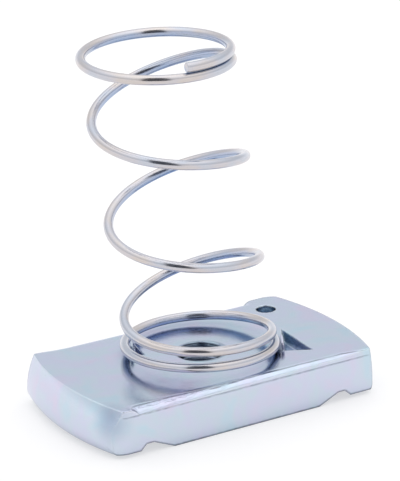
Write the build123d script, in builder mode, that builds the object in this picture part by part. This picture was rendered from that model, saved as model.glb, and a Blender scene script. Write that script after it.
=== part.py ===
from build123d import *
import os
from math import cos, hypot, radians, sin, sqrt

# Strut spring nut: a pressed steel nut plate with a coil spring staked on its top face.
# Units are millimetres, +Z is up. The origin is on the threaded hole's axis, in the plane of
# the underside. X runs along the plate's long side.

# ---- nut plate: outline ----
plate_length = 35.0  # over the bowed ends, along the top edge
plate_width = 20.4
plate_thickness = 5.6
end_bow_radius = 34.0  # plan radius of a bowed end
end_bow_shift = 1.2  # the bow is fullest this far towards the sharp corner
full_belly = 1.1  # how far the end at -X swells out below its top edge
full_belly_depth = 4.4  # the belly's level, below the top face
full_foot_radius = 1.5
slight_belly = 0.3  # the same for the end at +X
slight_belly_depth = 3.6
slight_foot_radius = 1.1
corner_radius = 2.4  # the two corners that pass the channel's walls as the nut turns
foot_edge_radius = 0.3  # along the long lower edges
cutter_floor = -1.0  # level from which the underside's cutters start

# ---- nut plate: rolled upper edges, each fading out towards its sharp corner ----
roll_width = 1.3  # measured across the top face
roll_depth = 0.8  # measured down the flank
roll_fade = 0.4  # how much narrower the roll is where it starts to die away
roll_fade_length = 4.5  # from there to the sharp corner
back_roll_run_out = 11.4  # where the roll at +Y ends, towards the rounded corner
front_roll_run_out = 13.7  # the same for the roll at -Y

# ---- nut plate: grip grooves in the underside, one for each lip of the channel ----
groove_start = 9.4  # where the long inner slope leaves the underside
groove_floor_start = 12.0
groove_floor_end = 12.9
groove_end = 13.6
groove_depth = 1.15
groove_blend_radius = 0.45
end_land_rise = 0.45  # the land outside each groove lies this far above the underside
tooth_pitch = 1.6
tooth_depth = 0.45
tooth_crest = 0.2  # flat left between two notches
tooth_arc_radius = 1.4  # each notch is curved along its length and runs out in the slopes
tooth_count = 11

# ---- nut plate: holes ----
thread_minor_diameter = 5.0  # M6 x 1, modelled as its minor bore
thread_lead_in = 0.35
dimple_diameter = 2.4
dimple_depth = 1.4
dimple_x = 12.7
dimple_y = 6.8

# ---- spring ----
wire_diameter = 1.1
seat_coil_radius = 8.61  # wire centre, on the turn that lies on the plate
coil_radius = 8.16  # wire centre, on all the turns above it
coil_narrowing = (0.6, 1.5)  # turns between which the seat radius changes to the coil radius
spring_turns = 5.222
seat_end_angle = -15.0  # plan angle of the wire's lower end
seat_end_height = 0.70  # wire centre above the plate, before the seat turn's tilt
closed_pitch = 1.164
open_pitch = 12.54
opening_start = 0.716  # turns from the lower end
opening_turns = 1.23  # turns that the pitch takes to open out
closing_start = 3.80
closing_turns = 0.49
lean_x = -0.154  # sideways lean of the coil's axis for each millimetre of height
lean_y = -0.072
seat_tilt = 0.63  # the seat turn's rise on its high side
seat_tilt_angle = -113.6
seat_tilt_fade = (0.9, 1.6)
body_tilt = 0.84  # the open turns' rise on their high side
body_tilt_angle = -22.5
points_per_turn = 16

# ---- stakes: two triangular punch marks, each with a lip of metal pressed against the wire ----
stake_clearance = 0.08
stake_depth = 1.3
stake_taper = 12
lip_thickness = 0.3
lip_root = 0.2  # how far a lip's foot is sunk into the plate
outer_stake_angle = -27.7
outer_stake_side = 6.9  # along the wire
outer_stake_reach = 3.3  # away from the wire
outer_stake_offset = 1.1  # from the stake's line to the mark's square corner
outer_lip_length = 2.4
outer_lip_grip = 0.3  # how far the lip's top stands above the wire's centre
outer_lip_lean = 0.1  # how far its top leans over the wire
inner_stake_angle = 152.3
inner_stake_side = 3.6
inner_stake_reach = 1.3
inner_stake_offset = 0.3
inner_lip_length = 1.6
inner_lip_grip = 0.1
inner_lip_lean = 0.0


def ease(value):
    """Smooth step from 0 to 1."""
    held = min(max(value, 0.0), 1.0)
    return held * held * (3 - 2 * held)


def eased_length(value):
    """Area under the smooth step from 0 to value."""
    held = min(max(value, 0.0), 1.0)
    return held**3 - held**4 / 2 + max(value - 1, 0.0)


def coil_point(turn):
    """Centre of the spring wire, a number of turns up from its lower end."""
    open_turns = opening_turns * eased_length((turn - opening_start) / opening_turns)
    open_turns -= closing_turns * eased_length((turn - closing_start) / closing_turns)
    height = seat_end_height + closed_pitch * turn + (open_pitch - closed_pitch) * open_turns

    angle = seat_end_angle - 360 * turn
    narrowed = ease((turn - coil_narrowing[0]) / (coil_narrowing[1] - coil_narrowing[0]))
    radius = seat_coil_radius + (coil_radius - seat_coil_radius) * narrowed

    seated = 1 - ease((turn - seat_tilt_fade[0]) / (seat_tilt_fade[1] - seat_tilt_fade[0]))
    opened = ease((turn - opening_start) / opening_turns)
    opened *= 1 - ease((turn - closing_start) / closing_turns)
    height += seat_tilt * seated * cos(radians(angle - seat_tilt_angle))
    height += body_tilt * opened * cos(radians(angle - body_tilt_angle))
    return (
        radius * cos(radians(angle)) + lean_x * height,
        radius * sin(radians(angle)) + lean_y * height,
        plate_thickness + height,
    )


# ---- spring: one length of round wire ----
point_count = round(spring_turns * points_per_turn)
wire_points = [coil_point(spring_turns * i / point_count) for i in range(point_count + 1)]

with BuildPart() as spring:
    with BuildLine() as wire_path:
        Spline(*wire_points)
    with BuildSketch(Plane(origin=wire_path.line @ 0, z_dir=wire_path.line % 0)):
        Circle(wire_diameter / 2)
    sweep(path=wire_path.line, is_frenet=True)

bow_centre_x = plate_length / 2 - end_bow_radius


def end_form(belly, belly_depth, foot_radius):
    """A disc whose rim has the form of one bowed and bellied end, the one at +X."""
    end_plane = Plane(
        origin=(bow_centre_x, -end_bow_shift, 0), x_dir=(1, 0, 0), z_dir=(0, -1, 0)
    )
    arc_radius = (belly**2 + belly_depth**2) / (2 * belly)
    below_belly = plate_thickness - belly_depth
    foot_set_back = arc_radius - sqrt(arc_radius**2 - below_belly**2)
    upper = (end_bow_radius, plate_thickness)
    fullest = (end_bow_radius + belly, below_belly)
    foot = (end_bow_radius + belly - foot_set_back, 0)
    with BuildPart() as form:
        with BuildSketch(end_plane) as profile:
            with BuildLine():
                ThreePointArc(upper, fullest, foot)
                Polyline(foot, (0, 0), (0, plate_thickness), upper)
            make_face()
            fillet(profile.vertices().sort_by_distance((*foot, 0))[0], foot_radius)
        revolve(axis=Axis((bow_centre_x, -end_bow_shift, 0), (0, 0, 1)))
    return form.part


def roll_cutter(run_out):
    """Cutter for the rolled edge at +Y, from its run-out to the sharp corner at -X."""
    edge_y = plate_width / 2
    corner_x = -bow_centre_x - sqrt(end_bow_radius**2 - (edge_y - end_bow_shift) ** 2)
    roll_radius = (roll_width**2 + roll_depth**2) / (2 * roll_depth)
    shoulder = (edge_y - roll_width, plate_thickness)
    crease = (edge_y, plate_thickness - roll_depth)
    heel = (shoulder[0] + roll_radius, plate_thickness - roll_radius)
    beyond = edge_y + roll_width / 2
    fade_start = (corner_x + roll_fade_length, shoulder[0] + roll_fade, plate_thickness)
    with BuildPart() as cutter:
        with BuildLine() as shoulder_line:
            full_length = Line((run_out, *shoulder), fade_start)
            TangentArc(fade_start, (corner_x, edge_y, plate_thickness), tangent=full_length % 1)
        with BuildSketch(Plane.YZ.offset(run_out)):
            with BuildLine():
                RadiusArc(shoulder, heel, roll_radius)
                Polyline(heel, (beyond, heel[1]), (beyond, plate_thickness), shoulder)
            make_face()
        sweep(path=shoulder_line.wire())
        with BuildSketch(Plane.YZ.offset(run_out)):
            with BuildLine():
                RadiusArc(shoulder, crease, roll_radius)
                Polyline(crease, (edge_y, plate_thickness), shoulder)
            make_face()
        revolve(axis=Axis((run_out, edge_y, 0), (0, 0, 1)), revolution_arc=180)
    return cutter.part


full_end = end_form(full_belly, full_belly_depth, full_foot_radius)
slight_end = end_form(slight_belly, slight_belly_depth, slight_foot_radius)
back_roll = roll_cutter(back_roll_run_out)
front_roll = roll_cutter(front_roll_run_out)

# ---- cutter for one notch between two teeth: a ring with a V-shaped rim ----
groove_middle = (groove_floor_start + groove_floor_end) / 2
notch_top = groove_depth + tooth_depth
notch_slope = (tooth_pitch - tooth_crest) / 2 / tooth_depth

with BuildPart() as tooth_cutter:
    with BuildSketch(Plane.YZ):
        Polygon(
            (0, notch_top),
            (tooth_pitch / 2, notch_top - tooth_pitch / 2 / notch_slope),
            (-tooth_pitch / 2, notch_top - tooth_pitch / 2 / notch_slope),
            align=None,
        )
    revolve(axis=Axis((0, 0, notch_top - tooth_arc_radius), (0, 1, 0)))


def seat_wire(angle):
    """Radius and height above the plate of the seat turn's centre, at a plan angle."""
    x, y, z = coil_point(((seat_end_angle - angle) % 360) / 360)
    return hypot(x, y), z - plate_thickness


def stake_planes(angle):
    """The top face and the upright section at a stake, their X pointing away from the hole."""
    out = (cos(radians(angle)), sin(radians(angle)), 0)
    face = Plane(origin=(0, 0, plate_thickness), x_dir=out, z_dir=(0, 0, 1))
    section = Plane(origin=(0, 0, plate_thickness), x_dir=out, z_dir=(out[1], -out[0], 0))
    return face, section


with BuildPart() as nut_plate:
    # plan outline: two bowed ends, two sharp corners and two rounded ones
    with BuildSketch() as outline:
        Rectangle(plate_length + 4 * full_belly, plate_width)
        with Locations((bow_centre_x, -end_bow_shift)):
            Circle(end_bow_radius + slight_belly, mode=Mode.INTERSECT)
        with Locations((-bow_centre_x, end_bow_shift)):
            Circle(end_bow_radius + full_belly, mode=Mode.INTERSECT)
        turning_corners = outline.vertices().filter_by(lambda vertex: vertex.X * vertex.Y > 0)
        fillet(turning_corners, corner_radius)
    extrude(amount=plate_thickness)
    add(slight_end, mode=Mode.INTERSECT)
    add(full_end, rotation=(0, 0, 180), mode=Mode.INTERSECT)

    # rolled upper edges
    add(back_roll, mode=Mode.SUBTRACT)
    add(front_roll, rotation=(0, 0, 180), mode=Mode.SUBTRACT)

    # long lower edges
    with BuildSketch(Plane.YZ):
        with BuildLine():
            flank = (plate_width / 2, foot_edge_radius)
            underside = (plate_width / 2 - foot_edge_radius, 0)
            RadiusArc(flank, underside, foot_edge_radius)
            Polyline(
                underside,
                (underside[0], cutter_floor),
                (plate_width, cutter_floor),
                (plate_width, foot_edge_radius),
                flank,
            )
        make_face()
        mirror(about=Plane.XZ)
    extrude(amount=plate_length, both=True, mode=Mode.SUBTRACT)

    # grip grooves and the raised lands outside them
    with BuildSketch(Plane.XZ) as groove_profile:
        with BuildLine():
            Polyline(
                (groove_start, 0),
                (groove_floor_start, groove_depth),
                (groove_floor_end, groove_depth),
                (groove_end, end_land_rise),
                (plate_length, end_land_rise),
                (plate_length, cutter_floor),
                (groove_start, cutter_floor),
                close=True,
            )
        make_face()
        blended = groove_profile.vertices().filter_by(
            lambda vertex: groove_start < vertex.X < plate_length / 2 and vertex.Z > 0
        )
        fillet(blended, groove_blend_radius)
        mirror(about=Plane.YZ)
    extrude(amount=plate_width, both=True, mode=Mode.SUBTRACT)

    # teeth along both grooves
    with GridLocations(2 * groove_middle, tooth_pitch, 2, tooth_count):
        add(tooth_cutter.part, mode=Mode.SUBTRACT)

    # threaded hole with its lead-in at both faces
    bore_radius = thread_minor_diameter / 2
    with BuildSketch(Plane.XZ):
        Polygon(
            (0, 0),
            (bore_radius + thread_lead_in, 0),
            (bore_radius, thread_lead_in),
            (bore_radius, plate_thickness - thread_lead_in),
            (bore_radius + thread_lead_in, plate_thickness),
            (0, plate_thickness),
            align=None,
        )
    revolve(axis=Axis.Z, mode=Mode.SUBTRACT)

    # locating dimple
    with Locations((dimple_x, dimple_y, plate_thickness)):
        Hole(dimple_diameter / 2, depth=dimple_depth)

    # outer stake: the punch mark lies outside the coil, its long side along the wire
    face, section = stake_planes(outer_stake_angle)
    wire_reach, wire_height = seat_wire(outer_stake_angle)
    lip_face = wire_reach + wire_diameter / 2 + stake_clearance
    mark_edge = lip_face + lip_thickness
    with BuildSketch(face):
        Polygon(
            (mark_edge, -outer_stake_offset),
            (mark_edge + outer_stake_reach, -outer_stake_offset),
            (mark_edge, outer_stake_side - outer_stake_offset),
            align=None,
        )
    extrude(amount=-stake_depth, taper=stake_taper, mode=Mode.SUBTRACT)
    lip_top = wire_height + outer_lip_grip
    with BuildSketch(section):
        with BuildLine():
            Polyline(
                (lip_face, wire_height),
                (lip_face, -lip_root),
                (mark_edge, -lip_root),
                (mark_edge, 0),
            )
            Spline(
                (mark_edge, 0),
                (lip_face - outer_lip_lean, lip_top),
                tangents=[(0, 1), (-1, 0)],
            )
            Line((lip_face - outer_lip_lean, lip_top), (lip_face, wire_height))
        make_face()
    extrude(amount=outer_lip_length / 2, both=True)

    # inner stake: the same, smaller, inside the coil on its far side
    face, section = stake_planes(inner_stake_angle)
    wire_reach, wire_height = seat_wire(inner_stake_angle)
    lip_sagitta = inner_lip_length**2 / (8 * wire_reach)
    lip_face = wire_reach - wire_diameter / 2 - stake_clearance - lip_sagitta
    mark_edge = lip_face - lip_thickness
    with BuildSketch(face):
        Polygon(
            (mark_edge, inner_stake_offset),
            (mark_edge, inner_stake_offset - inner_stake_side),
            (mark_edge - inner_stake_reach, inner_stake_offset),
            align=None,
        )
    extrude(amount=-stake_depth, taper=stake_taper, mode=Mode.SUBTRACT)
    lip_top = wire_height + inner_lip_grip
    with BuildSketch(section):
        with BuildLine():
            Polyline(
                (lip_face, wire_height),
                (lip_face, -lip_root),
                (mark_edge, -lip_root),
                (mark_edge, 0),
            )
            Spline(
                (mark_edge, 0),
                (lip_face + inner_lip_lean, lip_top),
                tangents=[(0, 1), (1, 0)],
            )
            Line((lip_face + inner_lip_lean, lip_top), (lip_face, wire_height))
        make_face()
    extrude(amount=inner_lip_length / 2, both=True)

nut_plate.part.label = "nut_plate"
spring.part.label = "spring"

os.makedirs("parts", exist_ok=True)
export_step(nut_plate.part, "parts/nut_plate.step")
export_step(spring.part, "parts/spring.step")
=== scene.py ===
"""Strut spring nut: bright zinc plated nut plate with a coil spring staked on its top face."""

import math

import bmesh
import bpy
from mathutils import Matrix, Vector

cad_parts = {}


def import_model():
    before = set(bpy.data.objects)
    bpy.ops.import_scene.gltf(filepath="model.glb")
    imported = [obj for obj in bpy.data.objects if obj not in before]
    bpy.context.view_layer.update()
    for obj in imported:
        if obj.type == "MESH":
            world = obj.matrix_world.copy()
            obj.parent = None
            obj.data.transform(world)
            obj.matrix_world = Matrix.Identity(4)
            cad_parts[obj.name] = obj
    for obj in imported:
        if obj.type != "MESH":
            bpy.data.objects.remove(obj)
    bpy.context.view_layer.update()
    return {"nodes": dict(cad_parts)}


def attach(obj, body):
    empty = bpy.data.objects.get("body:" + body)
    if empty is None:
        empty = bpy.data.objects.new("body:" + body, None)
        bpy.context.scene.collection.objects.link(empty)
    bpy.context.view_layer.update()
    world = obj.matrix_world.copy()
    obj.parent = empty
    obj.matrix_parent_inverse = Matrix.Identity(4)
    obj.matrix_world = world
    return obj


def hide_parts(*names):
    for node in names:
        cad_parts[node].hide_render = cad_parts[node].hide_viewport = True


MM = 0.001
WHITE = (1, 1, 1)
OCCLUSION_SAMPLES = 12
BEVEL_SAMPLES = 6
WELD_DISTANCE = 1e-7  # metres
SHARP_ANGLE = 30  # degrees

# ---- nut plate (millimetres) ----
PLATE_THICKNESS = 5.6
PLATE_EDGE_ROUNDING = 0.34  # in the shading only
PLATE_RECESS = 2.2  # how near other metal has to be for the painted shade on the plate
PLATE_ROUGHNESS = (0.12, 0.24)
WAVE_HEIGHT = 0.03
GRAIN_HEIGHT = 0.01
SCORE_HEIGHT = 0.16
EDGE_STEEPNESS = 3.0  # how sharply the painted shade at the lower edges and the painted highlight at the upper edges set in
PATCHINESS = (-0.6, 1.7)  # below 0 a patch of the painted shade at the foot and in the crease is missing, above 1 it is full

# marks on the long sides: least distance from the middle, lowest, highest, and blur
# the crease and foot marks are painted shade, the roll's scores are bumps
CREASE = (10.05, 4.62, 4.86, 0.08)
FOOT = (9.9, -1.0, 0.26, 0.12)
ROLL = (8.8, 4.8, 5.57, 0.06)
SIDE_REACH = 20.0  # farther out than the plate's long sides
SIDE_START, SIDE_END = -16.2, 16.6  # where the marks have faded out, towards each end
SIDE_FADE = 1.5
CORNER_SHADE_CENTRE = (-16.9, -8.9, 4.3)  # painted shade in the near left corner, under its top edge
CORNER_SHADE_RADIUS = 3.3
THREAD_SHADE = (2.95, 3.3)  # radii between which the painted shade in the threaded hole fades out

# how fine each pattern in the plate's finish is, per metre
CAST_SCALE = 210
WAVE_SCALE = 330
ROUGHNESS_SCALE = 700
PATCH_SCALE = 1300
GRAIN_SCALE = 2600
SCORE_SCALES = (350, 1500, 1500)

# ---- thread in the plate's hole: M6 x 1, right-handed (millimetres) ----
THREAD_PITCH = 1.0
THREAD_ROOT_RADIUS = 3.0
THREAD_CREST_RADIUS = 2.45  # just inside the bore, whose wall is left standing as the crests
THREAD_SIDES = 60
THREAD_ROWS_PER_PITCH = 16
THREAD_REACH = 1.0  # how far the cutter runs out past each face
THREAD_ROOT_FLAT = 0.14  # shares of the pitch
THREAD_CREST_FLAT = 0.25
THREAD_TIP_REACH = 4.0  # how far out the cutter's pointed ends lie

# ---- spring (millimetres, degrees and turns) ----
WIRE_RADIUS = 0.55
WIRE_SIDES = 28
WIRE_RINGS_PER_TURN = 110
CUT_EDGE = 0.06  # rounding of the wire's cut ends
WIRE_RECESS = 3.0  # how near other metal has to be for the painted shade on the wire
WIRE_BLUENESS = 0.35  # how fast the painted bluish reflection comes in towards the wire's inner lower side
WIRE_ROUGHNESS = (0.12, 0.26)
WIRE_CAST_SCALES = (0.25, 0.8, 0.8)  # along the wire and across it
DRAWN_SCALES = (0.12, 9, 9)
DRAWN_HEIGHT = 0.012
TURN_STEP = 1e-4  # for the wire's direction
SEAT_COIL_RADIUS = 8.61
COIL_RADIUS = 8.16
COIL_NARROWING = (0.6, 1.5)
SPRING_TURNS = 5.222
SEAT_END_ANGLE = -15.0
SEAT_END_HEIGHT = 0.70
CLOSED_PITCH = 1.164
OPEN_PITCH = 12.54
OPENING_START = 0.716
OPENING_TURNS = 1.23
CLOSING_START = 3.80
CLOSING_TURNS = 0.49
LEAN = (-0.154, -0.072)
SEAT_TILT = 0.63
SEAT_TILT_ANGLE = -113.6
SEAT_TILT_FADE = (0.9, 1.6)
BODY_TILT = 0.84
BODY_TILT_ANGLE = -22.5

# ---- camera (millimetres above the plate's top face) ----
CAMERA_PLACE = (-141.159, -255.422, 122.174)
CAMERA_RIGHT = (0.86752, -0.49609, -0.03605)
CAMERA_UP = (0.20271, 0.28643, 0.93641)
CAMERA_SENSOR = 24.0
CAMERA_LENS = 137.94
CAMERA_CLIP = (0.01, 10.0)  # metres

# ---- stage (metres) ----
FLOOR_HALF = 1.5
FLOOR_LEVEL = -0.02 * MM  # just below the plate, so that the two share no plane
FLOOR_COLOR = (0.52, 0.505, 0.5)
FLOOR_GLOW = 0.52
CARD_TOWARD = (-0.454, -0.82, 0)  # from the plate to the card
CARD_DISTANCE = 0.5
CARD_HALF_WIDTH = 0.18
CARD_FOOT = 0.01
CARD_TOP = 1.3
CARD_COLOR = (0.06, 0.065, 0.08)
SHEET_ROUGHNESS = 0.9


# ---- small helpers for shader nodes ----
def new_material(name):
    """A material with an empty node tree apart from its output and a principled shader."""
    material = bpy.data.materials.new(name)
    material.use_nodes = True
    tree = material.node_tree
    tree.nodes.clear()
    output = tree.nodes.new("ShaderNodeOutputMaterial")
    shader = tree.nodes.new("ShaderNodeBsdfPrincipled")
    tree.links.new(shader.outputs["BSDF"], output.inputs["Surface"])
    return material, tree, shader


def object_place(tree):
    return tree.nodes.new("ShaderNodeTexCoord").outputs["Object"]


def attribute_place(tree, name):
    node = tree.nodes.new("ShaderNodeAttribute")
    node.attribute_name = name
    return node.outputs["Vector"]


def stretched(tree, where, scale):
    node = tree.nodes.new("ShaderNodeMapping")
    node.inputs["Scale"].default_value = scale
    tree.links.new(where, node.inputs["Vector"])
    return node.outputs["Vector"]


def noise(tree, where, scale, detail=3.0, roughness=0.5, distortion=0.0):
    node = tree.nodes.new("ShaderNodeTexNoise")
    node.inputs["Scale"].default_value = scale
    node.inputs["Detail"].default_value = detail
    node.inputs["Roughness"].default_value = roughness
    node.inputs["Distortion"].default_value = distortion
    tree.links.new(where, node.inputs["Vector"])
    return node.outputs["Fac"]


def ramp(tree, value, stops):
    node = tree.nodes.new("ShaderNodeValToRGB")
    elements = node.color_ramp.elements
    while len(elements) < len(stops):
        elements.new(0.5)
    for element, (position, color) in zip(elements, stops):
        element.position = position
        element.color = (*color, 1.0)
    tree.links.new(value, node.inputs["Fac"])
    return node.outputs["Color"]


def value_range(tree, value, low, high):
    node = tree.nodes.new("ShaderNodeMapRange")
    node.inputs["To Min"].default_value = low
    node.inputs["To Max"].default_value = high
    tree.links.new(value, node.inputs["Value"])
    return node.outputs["Result"]


def multiply(tree, first, second):
    node = tree.nodes.new("ShaderNodeMix")
    node.data_type = "RGBA"
    node.blend_type = "MULTIPLY"
    node.inputs["Factor"].default_value = 1.0
    tree.links.new(first, node.inputs[6])
    tree.links.new(second, node.inputs[7])
    return node.outputs[2]


def recess(tree, distance):
    """How open the surface is: 1 in the open, falling towards 0 deep in a hole or corner."""
    node = tree.nodes.new("ShaderNodeAmbientOcclusion")
    node.samples = OCCLUSION_SAMPLES
    node.inputs["Distance"].default_value = distance
    return node.outputs["AO"]


def soft_edges(tree, radius):
    node = tree.nodes.new("ShaderNodeBevel")
    node.samples = BEVEL_SAMPLES
    node.inputs["Radius"].default_value = radius
    return node.outputs["Normal"]


def bump(tree, height, strength, distance, normal=None):
    node = tree.nodes.new("ShaderNodeBump")
    node.inputs["Strength"].default_value = strength
    node.inputs["Distance"].default_value = distance
    tree.links.new(height, node.inputs["Height"])
    if normal is not None:
        tree.links.new(normal, node.inputs["Normal"])
    return node.outputs["Normal"]


def math_node(tree, operation, first, second, offset=0.0, clamp=False):
    node = tree.nodes.new("ShaderNodeMath")
    node.operation = operation
    node.use_clamp = clamp
    for value, socket in zip((first, second, offset), node.inputs):
        if isinstance(value, (int, float)):
            socket.default_value = value
        else:
            tree.links.new(value, socket)
    return node.outputs[0]


def split_up(tree, vector):
    node = tree.nodes.new("ShaderNodeSeparateXYZ")
    tree.links.new(vector, node.inputs["Vector"])
    return node.outputs["X"], node.outputs["Y"], node.outputs["Z"]


def band(tree, value, low, high, softness):
    """1 where value lies between low and high, fading to 0 over softness."""
    over_low = math_node(tree, "SUBTRACT", value, low)
    above = math_node(tree, "DIVIDE", over_low, softness, clamp=True)
    under_high = math_node(tree, "SUBTRACT", high, value)
    below = math_node(tree, "DIVIDE", under_high, softness, clamp=True)
    return math_node(tree, "MULTIPLY", above, below)


def long_side(tree, where, inner, low, high, softness):
    """1 on the plate's long sides, outside inner and between two heights, in millimetres."""
    x, y, z = split_up(tree, where)
    distance = math_node(tree, "ABSOLUTE", y, 0.0)
    outward = band(tree, distance, inner * MM, SIDE_REACH * MM, softness * MM)
    lengthwise = band(tree, x, SIDE_START * MM, SIDE_END * MM, SIDE_FADE * MM)
    side = math_node(tree, "MULTIPLY", outward, lengthwise)
    upright = band(tree, z, low * MM, high * MM, softness * MM)
    return math_node(tree, "MULTIPLY", side, upright)


def away_from(tree, where, centre, near, far):
    """Rises softly from 0 within the distance near of the centre to 1 at the distance far."""
    apart = tree.nodes.new("ShaderNodeVectorMath")
    apart.operation = "DISTANCE"
    tree.links.new(where, apart.inputs[0])
    apart.inputs[1].default_value = centre
    node = tree.nodes.new("ShaderNodeMapRange")
    node.interpolation_type = "SMOOTHSTEP"
    node.inputs["From Min"].default_value = near
    node.inputs["From Max"].default_value = far
    tree.links.new(apart.outputs["Value"], node.inputs["Value"])
    return node.outputs["Result"]


def tinted(tree, color, amount, none, full, reach=1.0):
    """The colour times a tint that goes from none to full as amount rises from 0 to reach."""
    return multiply(tree, color, ramp(tree, amount, [(0, none), (reach, full)]))


def edge_tilt(tree, rounded, steepness):
    """How far rounding turns a wall downwards at its foot and upwards at its top, 0 to 1."""
    plain_up = split_up(tree, tree.nodes.new("ShaderNodeNewGeometry").outputs["Normal"])[2]
    rounded_up = split_up(tree, rounded)[2]
    tilt = math_node(tree, "MULTIPLY", math_node(tree, "SUBTRACT", plain_up, rounded_up), steepness)
    below = math_node(tree, "MULTIPLY", rounded_up, -steepness)
    downwards = math_node(tree, "MINIMUM", tilt, below, clamp=True)
    upwards = math_node(tree, "MULTIPLY", tilt, -1.0, clamp=True)
    return downwards, upwards


# ---- materials ----
def zinc_plate():
    """Bright zinc over pressed steel: pale metal with soft cyan, lavender and pink patches."""
    material, tree, shader = new_material("bright_zinc_plate")
    where = object_place(tree)
    cast = ramp(
        tree,
        noise(tree, where, CAST_SCALE, detail=3, roughness=0.6, distortion=0.4),
        [
            (0.32, (0.54, 0.67, 0.76)),
            (0.44, (0.59, 0.66, 0.75)),
            (0.54, (0.605, 0.64, 0.77)),
            (0.68, (0.65, 0.62, 0.76)),
        ],
    )
    # painted shade: the plate darker where other metal is near, in recesses and at contacts
    recess_shade = ramp(
        tree,
        recess(tree, PLATE_RECESS * MM),
        [(0.0, (0.62, 0.66, 0.68)), (0.4, (0.74, 0.78, 0.82)), (0.8, WHITE)],
    )
    color = multiply(tree, cast, recess_shade)

    # painted shade along the lower edges and in the crease below the rolls, and a painted highlight
    # along the upper edges
    rounded = soft_edges(tree, PLATE_EDGE_ROUNDING * MM)
    lower_edge_shade, upper_edge_highlight = edge_tilt(tree, rounded, EDGE_STEEPNESS)
    patchy = value_range(tree, noise(tree, where, PATCH_SCALE, detail=3), *PATCHINESS)
    # painted shade: a dark line in the crease below the rolls
    crease_shade = long_side(tree, where, *CREASE)
    crease_shade = math_node(tree, "MULTIPLY", crease_shade, patchy, clamp=True)
    # painted shade: darker along the foot of the long sides
    foot = long_side(tree, where, *FOOT)
    foot = math_node(tree, "MULTIPLY", foot, patchy)
    lower_edge_shade = math_node(tree, "MAXIMUM", lower_edge_shade, foot, clamp=True)
    # painted shade: darker towards the near left corner, under its top edge
    corner_shade_centre = [place * MM for place in CORNER_SHADE_CENTRE]
    corner_shade = away_from(tree, where, corner_shade_centre, 0.0, CORNER_SHADE_RADIUS * MM)
    # painted shade: darker towards the threaded hole
    from_axis = stretched(tree, where, (1, 1, 0))
    thread = away_from(tree, from_axis, (0, 0, 0), *[radius * MM for radius in THREAD_SHADE])
    color = tinted(tree, color, lower_edge_shade, WHITE, (0.3, 0.31, 0.33))
    color = tinted(tree, color, crease_shade, WHITE, (0.6, 0.62, 0.66))
    color = tinted(tree, color, corner_shade, (0.66, 0.68, 0.76), WHITE)
    color = tinted(tree, color, thread, (0.6, 0.64, 0.68), WHITE)
    # painted highlight: lighter along the upper edges
    color = tinted(tree, color, upper_edge_highlight, WHITE, (1.2, 1.18, 1.1), reach=0.6)
    tree.links.new(color, shader.inputs["Base Color"])
    shader.inputs["Metallic"].default_value = 1.0
    uneven = noise(tree, where, ROUGHNESS_SCALE, detail=4)
    dullness = value_range(tree, uneven, *PLATE_ROUGHNESS)
    tree.links.new(dullness, shader.inputs["Roughness"])

    # shallow waves and fine grain everywhere, and scores along the rolls
    waves = noise(tree, where, WAVE_SCALE, detail=2)
    skin = bump(tree, waves, 0.5, WAVE_HEIGHT * MM, rounded)
    grain = noise(tree, where, GRAIN_SCALE, detail=2)
    skin = bump(tree, grain, 0.25, GRAIN_HEIGHT * MM, skin)
    scored = noise(tree, stretched(tree, where, SCORE_SCALES), 1.0, detail=3)
    roll = long_side(tree, where, *ROLL)
    scores = math_node(tree, "MULTIPLY", scored, roll)
    skin = bump(tree, scores, 1.0, SCORE_HEIGHT * MM, skin)
    tree.links.new(skin, shader.inputs["Normal"])
    return material


def zinc_wire():
    """Plated spring wire: faint lines along its length, a painted bluish reflection on its inner
    lower side, and painted shade where other metal is near.
    """
    material, tree, shader = new_material("bright_zinc_wire")
    where = attribute_place(tree, "wire_place")
    cast = ramp(
        tree,
        noise(tree, stretched(tree, where, WIRE_CAST_SCALES), 1.0, detail=2),
        [
            (0.35, (0.55, 0.57, 0.63)),
            (0.5, (0.60, 0.575, 0.60)),
            (0.65, (0.63, 0.575, 0.55)),
        ],
    )
    _, outwards, upwards = split_up(tree, where)
    turned_out = math_node(tree, "ADD", outwards, upwards)
    # painted reflection: bluer towards the wire's inner lower side
    underside_reflection = ramp(
        tree,
        math_node(tree, "MULTIPLY_ADD", turned_out, WIRE_BLUENESS / WIRE_RADIUS, offset=0.5),
        [(0.0, (0.6, 0.76, 0.98)), (0.2, (0.74, 0.84, 1.0)), (0.45, WHITE)],
    )
    # painted shade: the wire darker and bluer where other metal is near
    recess_shade = ramp(
        tree,
        recess(tree, WIRE_RECESS * MM),
        [(0.1, (0.56, 0.68, 0.82)), (0.45, (0.8, 0.89, 0.97)), (0.75, WHITE)],
    )
    tint = multiply(tree, underside_reflection, recess_shade)
    tree.links.new(multiply(tree, cast, tint), shader.inputs["Base Color"])
    shader.inputs["Metallic"].default_value = 1.0
    drawn = noise(tree, stretched(tree, where, DRAWN_SCALES), 1.0, detail=3)
    tree.links.new(value_range(tree, drawn, *WIRE_ROUGHNESS), shader.inputs["Roughness"])
    tree.links.new(bump(tree, drawn, 0.3, DRAWN_HEIGHT * MM), shader.inputs["Normal"])
    return material


# ---- spring: round wire along the coil's path ----
def ease(value):
    """Smooth step from 0 to 1."""
    held = min(max(value, 0.0), 1.0)
    return held * held * (3 - 2 * held)


def eased_length(value):
    """Area under the smooth step from 0 to value."""
    held = min(max(value, 0.0), 1.0)
    return held**3 - held**4 / 2 + max(value - 1, 0.0)


def fade(turn, ends):
    return ease((turn - ends[0]) / (ends[1] - ends[0]))


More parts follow.
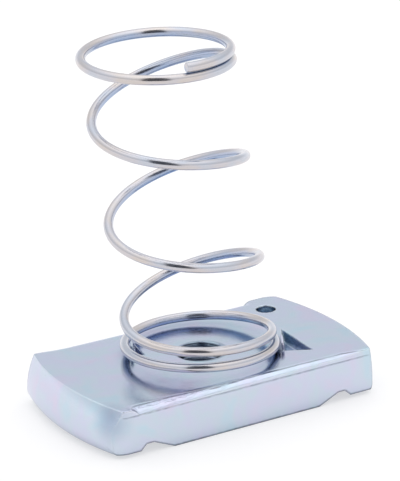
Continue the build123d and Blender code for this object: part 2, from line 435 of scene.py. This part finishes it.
def coil_point(turn):
    """Centre of the spring wire in millimetres, and the coil's axis beside it."""
    open_turns = OPENING_TURNS * eased_length((turn - OPENING_START) / OPENING_TURNS)
    open_turns -= CLOSING_TURNS * eased_length((turn - CLOSING_START) / CLOSING_TURNS)
    height = SEAT_END_HEIGHT + CLOSED_PITCH * turn + (OPEN_PITCH - CLOSED_PITCH) * open_turns
    angle = SEAT_END_ANGLE - 360 * turn
    radius = SEAT_COIL_RADIUS + (COIL_RADIUS - SEAT_COIL_RADIUS) * fade(turn, COIL_NARROWING)
    opened = ease((turn - OPENING_START) / OPENING_TURNS)
    opened *= 1 - ease((turn - CLOSING_START) / CLOSING_TURNS)
    seated = 1 - fade(turn, SEAT_TILT_FADE)
    height += SEAT_TILT * seated * math.cos(math.radians(angle - SEAT_TILT_ANGLE))
    height += BODY_TILT * opened * math.cos(math.radians(angle - BODY_TILT_ANGLE))
    axis = Vector((LEAN[0] * height, LEAN[1] * height, PLATE_THICKNESS + height))
    turned = math.radians(angle)
    return axis + radius * Vector((math.cos(turned), math.sin(turned), 0)), axis


def wire_frame(turn):
    """Centre of the wire and three directions there: along it, outwards and upwards."""
    centre, axis = coil_point(turn)
    ahead, behind = coil_point(turn + TURN_STEP)[0], coil_point(turn - TURN_STEP)[0]
    along = (ahead - behind).normalized()
    out = centre - axis
    out = (out - along * out.dot(along)).normalized()
    return centre, along, out, along.cross(out)


def build_spring():
    """Rings of points along the wire, with a small rounding at each cut end."""
    ring_count = round(SPRING_TURNS * WIRE_RINGS_PER_TURN)
    turns = [SPRING_TURNS * ring / ring_count for ring in range(ring_count + 1)]
    stations = [
        (turns[0], 0.0, WIRE_RADIUS - CUT_EDGE),
        (turns[0], CUT_EDGE, WIRE_RADIUS),
        *[(turn, 0.0, WIRE_RADIUS) for turn in turns[1:-1]],
        (turns[-1], -CUT_EDGE, WIRE_RADIUS),
        (turns[-1], 0.0, WIRE_RADIUS - CUT_EDGE),
    ]

    points, places, faces = [], [], []
    length = 0.0
    before = None
    for turn, shift, radius in stations:
        centre, along, out, up = wire_frame(turn)
        centre = centre + along * shift
        length += (centre - before).length if before else 0.0
        before = centre
        for side in range(WIRE_SIDES):
            angle = 2 * math.pi * side / WIRE_SIDES
            across = (radius * math.cos(angle), radius * math.sin(angle))
            points.append((centre + out * across[0] + up * across[1]) * MM)
            places.append((length, *across))
    for ring in range(len(stations) - 1):
        for side in range(WIRE_SIDES):
            a = ring * WIRE_SIDES + side
            b = ring * WIRE_SIDES + (side + 1) % WIRE_SIDES
            faces.append((a, a + WIRE_SIDES, b + WIRE_SIDES, b))
    end = len(points) - WIRE_SIDES
    faces.append(tuple(range(WIRE_SIDES)))
    faces.append(tuple(reversed(range(end, end + WIRE_SIDES))))

    mesh = bpy.data.meshes.new("spring_wire")
    mesh.from_pydata(points, [], faces)
    place = mesh.attributes.new("wire_place", "FLOAT_VECTOR", "POINT")
    place.data.foreach_set("vector", [value for triple in places for value in triple])
    return finished_piece("spring_wire", mesh, zinc_wire(), "spring")


# ---- nut plate: the CAD plate with its thread cut ----
def thread_radius(phase):
    """Radius of a thread cutter over one pitch: root, flank, crest, flank."""
    flank = (1 - THREAD_ROOT_FLAT - THREAD_CREST_FLAT) / 2
    depth = THREAD_ROOT_RADIUS - THREAD_CREST_RADIUS
    if phase < THREAD_ROOT_FLAT:
        return THREAD_ROOT_RADIUS
    if phase < THREAD_ROOT_FLAT + flank:
        return THREAD_ROOT_RADIUS - depth * (phase - THREAD_ROOT_FLAT) / flank
    if phase < THREAD_ROOT_FLAT + flank + THREAD_CREST_FLAT:
        return THREAD_CREST_RADIUS
    return THREAD_ROOT_RADIUS - depth * (1 - phase) / flank


def thread_cutter():
    """A right-handed screw, longer than the hole, on a grid that follows the helix."""
    pitches = round((PLATE_THICKNESS + 2 * THREAD_REACH) / THREAD_PITCH + 1)
    rows = THREAD_ROWS_PER_PITCH * pitches
    bottom = -THREAD_REACH - THREAD_PITCH
    cutter = bmesh.new()
    grid = []
    for row in range(rows + 1):
        radius = thread_radius(row % THREAD_ROWS_PER_PITCH / THREAD_ROWS_PER_PITCH)
        line = []
        for side in range(THREAD_SIDES):
            share = side / THREAD_SIDES
            angle = 2 * math.pi * share
            height = bottom + THREAD_PITCH * (row / THREAD_ROWS_PER_PITCH + share)
            spot = Vector((radius * math.cos(angle), radius * math.sin(angle), height))
            line.append(cutter.verts.new(spot * MM))
        grid.append(line)
    for row in range(rows):
        for side in range(THREAD_SIDES - 1):
            low, high = grid[row], grid[row + 1]
            cutter.faces.new((low[side], low[side + 1], high[side + 1], high[side]))
    for row in range(rows - THREAD_ROWS_PER_PITCH):
        low = grid[row + THREAD_ROWS_PER_PITCH]
        high = grid[row + THREAD_ROWS_PER_PITCH + 1]
        cutter.faces.new((grid[row][-1], low[0], high[0], grid[row + 1][-1]))
    rims = [edge for edge in cutter.edges if edge.is_boundary]
    middle = (bottom + PLATE_THICKNESS + THREAD_REACH) / 2 * MM
    for above in (False, True):
        level = PLATE_THICKNESS + THREAD_TIP_REACH if above else -THREAD_TIP_REACH
        tip = cutter.verts.new((0, 0, level * MM))
        for edge in rims:
            if (edge.verts[0].co.z > middle) == above:
                cutter.faces.new((*edge.verts, tip))
    bmesh.ops.recalc_face_normals(cutter, faces=cutter.faces)
    mesh = bpy.data.meshes.new("thread_cutter")
    cutter.to_mesh(mesh)
    cutter.free()
    return new_object("thread_cutter", mesh)


def build_nut_plate(node):
    """A welded copy of the CAD plate's mesh, with the thread cut out of its hole."""
    shape = bmesh.new()
    shape.from_mesh(node.data)
    bmesh.ops.remove_doubles(shape, verts=shape.verts, dist=WELD_DISTANCE)
    mesh = bpy.data.meshes.new("nut_body")
    mesh.from_pydata(
        [vert.co.copy() for vert in shape.verts],
        [],
        [[vert.index for vert in face.verts] for face in shape.faces],
    )
    shape.free()

    plain = new_object("nut_plain", mesh)
    cutter = thread_cutter()
    cut = plain.modifiers.new("thread", "BOOLEAN")
    cut.operation = "DIFFERENCE"
    cut.solver = "EXACT"
    cut.object = cutter
    graph = bpy.context.evaluated_depsgraph_get()
    threaded = bpy.data.meshes.new_from_object(plain.evaluated_get(graph))
    threaded.name = "nut_body"
    bpy.data.objects.remove(plain)
    bpy.data.objects.remove(cutter)
    return finished_piece("nut_body", threaded, zinc_plate(), "nut_plate")


def new_object(name, mesh):
    piece = bpy.data.objects.new(name, mesh)
    bpy.context.scene.collection.objects.link(piece)
    return piece


def finished_piece(name, mesh, material, node):
    """Shade a new piece, give it its material and let it stand for its CAD node."""
    mesh.materials.clear()
    mesh.materials.append(material)
    mesh.polygons.foreach_set("use_smooth", [True] * len(mesh.polygons))
    mesh.set_sharp_from_angle(angle=math.radians(SHARP_ANGLE))
    piece = new_object(name, mesh)
    weighted = piece.modifiers.new("even_shading", "WEIGHTED_NORMAL")
    weighted.keep_sharp = True
    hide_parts(node)
    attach(piece, "root")
    return piece


# ---- camera: the photograph's viewpoint ----
def place_camera():
    right, up = Vector(CAMERA_RIGHT), Vector(CAMERA_UP)
    back = right.cross(up).normalized()
    up = back.cross(right).normalized()
    turn = Matrix((right.normalized(), up, back)).transposed().to_4x4()
    position = (Vector(CAMERA_PLACE) + Vector((0, 0, PLATE_THICKNESS))) * MM
    data = bpy.data.cameras.new("camera")
    data.sensor_fit = "VERTICAL"
    data.sensor_height = CAMERA_SENSOR
    data.lens = CAMERA_LENS
    data.clip_start, data.clip_end = CAMERA_CLIP
    camera = bpy.data.objects.new("camera", data)
    bpy.context.scene.collection.objects.link(camera)
    camera.matrix_world = Matrix.Translation(position) @ turn
    bpy.context.scene.camera = camera


# ---- stage ----
def flat_sheet(name, corners, color, glow=0.0):
    """A matt four-cornered sheet of the stage, which may glow a little."""
    mesh = bpy.data.meshes.new(name)
    mesh.from_pydata(corners, [], [(0, 1, 2, 3)])
    sheet = new_object(name, mesh)
    material, tree, shader = new_material(name + "_paint")
    shader.inputs["Base Color"].default_value = (*color, 1)
    shader.inputs["Roughness"].default_value = SHEET_ROUGHNESS
    shader.inputs["Emission Color"].default_value = (1, 1, 1, 1)
    shader.inputs["Emission Strength"].default_value = glow
    mesh.materials.append(material)
    return sheet


def build_stage():
    around = ((-1, -1), (1, -1), (1, 1), (-1, 1))
    floor_corners = [(FLOOR_HALF * x, FLOOR_HALF * y, FLOOR_LEVEL) for x, y in around]
    flat_sheet("floor", floor_corners, FLOOR_COLOR, glow=FLOOR_GLOW)

    # a dark upright card behind the camera, which the metal mirrors
    toward = Vector(CARD_TOWARD).normalized()
    across = Vector((toward.y, -toward.x, 0))
    card_corners = [
        toward * CARD_DISTANCE + across * side + Vector((0, 0, height))
        for side, height in (
            (-CARD_HALF_WIDTH, CARD_FOOT),
            (CARD_HALF_WIDTH, CARD_FOOT),
            (CARD_HALF_WIDTH, CARD_TOP),
            (-CARD_HALF_WIDTH, CARD_TOP),
        )
    ]
    card = flat_sheet("dark_card", card_corners, CARD_COLOR)
    card.visible_camera = False


def light_studio():
    """Soft light from a sky whose brightness changes with height above the horizon."""
    world = bpy.data.worlds.new("studio")
    world.use_nodes = True
    tree = world.node_tree
    split = tree.nodes.new("ShaderNodeSeparateXYZ")
    direction = tree.nodes.new("ShaderNodeTexCoord").outputs["Generated"]
    tree.links.new(direction, split.inputs["Vector"])
    # about as bright as the floor at the horizon, dimmest a little above it, brightest overhead
    sky = ramp(
        tree,
        split.outputs["Z"],
        [
            (0.0, (1.12, 1.13, 1.14)),
            (0.08, (1.04, 1.05, 1.08)),
            (0.27, (0.79, 0.82, 0.86)),
            (0.42, (0.79, 0.82, 0.86)),
            (0.6, (0.95, 0.98, 1.02)),
            (1.0, (1.45, 1.48, 1.5)),
        ],
    )
    tree.links.new(sky, tree.nodes["Background"].inputs["Color"])
    bpy.context.scene.world = world
    bpy.context.scene.view_settings.view_transform = "Standard"


def main():
    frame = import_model()
    place_camera()
    build_stage()
    light_studio()
    build_nut_plate(frame["nodes"]["nut_plate"])
    build_spring()


main()
